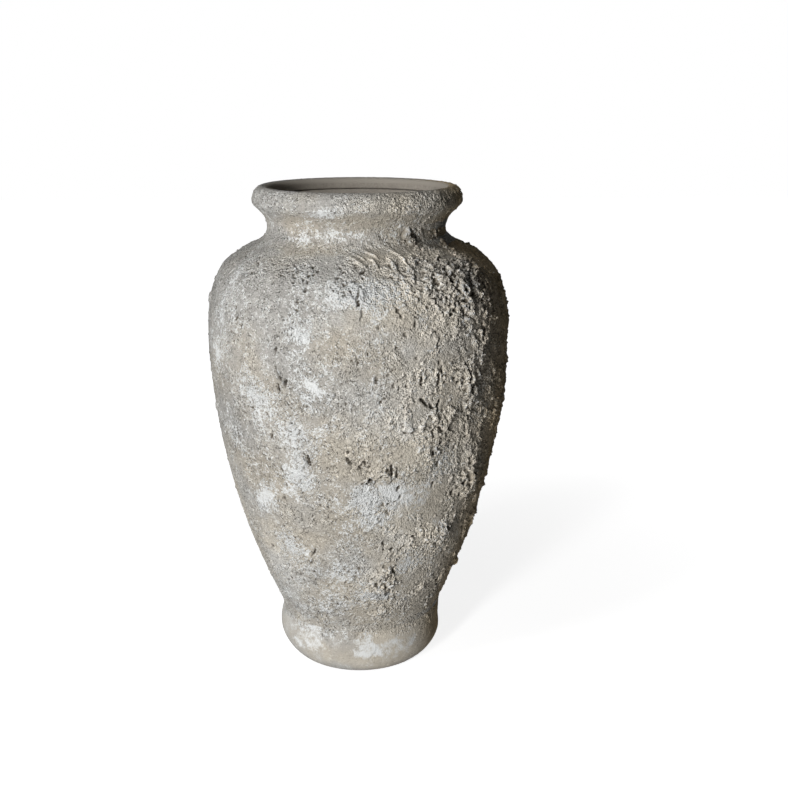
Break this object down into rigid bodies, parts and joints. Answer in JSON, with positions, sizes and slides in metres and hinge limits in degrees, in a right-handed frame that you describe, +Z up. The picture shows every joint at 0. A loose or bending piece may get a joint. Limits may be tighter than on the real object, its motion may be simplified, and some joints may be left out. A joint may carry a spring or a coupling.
{
  "type": "ceramic vase",
  "caption": "Shouldered ceramic vase with a rolled rim, short neck and rounded foot, coated outside in a rough mineral crust; it stands on its foot and holds stems or branches.",
  "frame": {"origin": "centre of the resting face, on the axis of the vase", "axes": "+Z up along the axis towards the mouth, -Y towards the camera of the picture, +X to its right"},
  "size_m": [0.2436, 0.2434, 0.4],
  "materials": {
    "bare_clay": "bare fired clay, matt",
    "dried_slip": "dried and fired slip, matt",
    "smooth_slip": "smooth taupe slip, matt",
    "mineral_crust": "rough sandy crust with worn lime wash"
  },
  "bodies": {
    "root": {"foot_ring": "bare_clay", "base_slab": "bare_clay", "base_lute": "dried_slip", "foot_lute": "dried_slip", "lower_wall": "bare_clay", "middle_lute": "dried_slip", "middle_wall": "bare_clay", "belly_lute": "dried_slip", "belly_wall": "bare_clay", "shoulder_lute": "dried_slip", "shoulder_wall": "bare_clay", "neck_lute": "dried_slip", "neck_collar": "bare_clay", "rim_lute": "dried_slip", "rim_roll": "bare_clay", "inner_slip": "smooth_slip", "foot_crust": "mineral_crust", "lower_crust": "mineral_crust", "middle_crust": "mineral_crust", "belly_crust": "mineral_crust", "shoulder_crust": "mineral_crust", "neck_crust": "mineral_crust", "rim_crust": "mineral_crust"}
  },
  "joints": []
}
